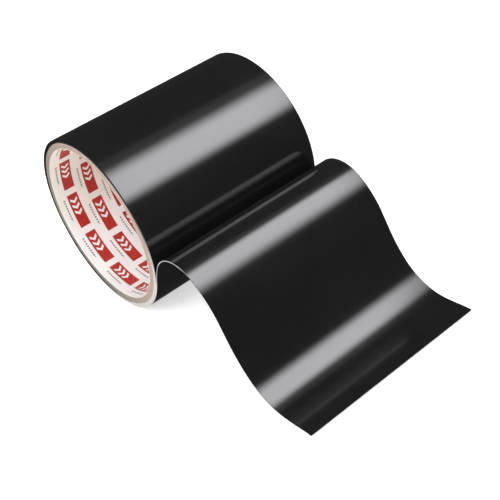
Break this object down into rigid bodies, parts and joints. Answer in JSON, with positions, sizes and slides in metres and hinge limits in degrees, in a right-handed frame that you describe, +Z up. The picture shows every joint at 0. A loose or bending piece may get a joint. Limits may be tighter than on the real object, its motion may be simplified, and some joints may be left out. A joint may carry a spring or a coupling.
{
  "type": "roll of sign vinyl",
  "caption": "Short roll of glossy black self-adhesive film on a board core, lying on its side with the free end peeled over a hump on to the bench.",
  "frame": {"origin": "centre of the core's bore, midway between the core's two end faces", "axes": "+Y along the bore, +X towards the film's free end, +Z up while the roll lies on its side"},
  "size_m": [0.1771, 0.095, 0.0859],
  "materials": {
    "printed_paper": "coated white paper with a repeat print",
    "kraft_board": "cut kraft board",
    "white_paper": "uncoated white paper",
    "black_film": "glossy soft PVC film",
    "adhesive": "glossy tacky coat"
  },
  "bodies": {
    "peel_lap": {"film_peel_lap": "black_film", "adhesive_peel_lap": "adhesive"},
    "roll": {"core_printed_liner": "printed_paper", "core_ply_1": "kraft_board", "core_ply_2": "kraft_board", "core_ply_3": "kraft_board", "core_ply_4": "kraft_board", "core_ply_5": "kraft_board", "core_ply_6": "kraft_board", "core_white_facing": "white_paper", "film_wound_turns": "black_film", "adhesive_wound_turns": "adhesive"},
    "hump": {"film_hump": "black_film", "adhesive_hump": "adhesive"},
    "slope": {"film_slope": "black_film", "adhesive_slope": "adhesive"},
    "free_end": {"film_free_end": "black_film", "adhesive_free_end": "adhesive"}
  },
  "joints": [
    {"name": "roll_spin", "type": "hinge", "parent": "peel_lap", "child": "roll", "pos_m": [0, 0, 0], "axis": [0, -1, 0], "continuous": true},
    {"name": "riser_bend", "type": "hinge", "parent": "peel_lap", "child": "hump", "pos_m": [0.04562, 0, -0.00267], "axis": [0, -1, 0], "range_deg": [0, 25]},
    {"name": "hump_bend", "type": "hinge", "parent": "hump", "child": "slope", "pos_m": [0.06176, 0, 0.00712], "axis": [0, -1, 0], "range_deg": [0, 35]},
    {"name": "toe_bend", "type": "hinge", "parent": "slope", "child": "free_end", "pos_m": [0.10698, 0, -0.04029], "axis": [0, -1, 0], "range_deg": [0, 40]}
  ]
}
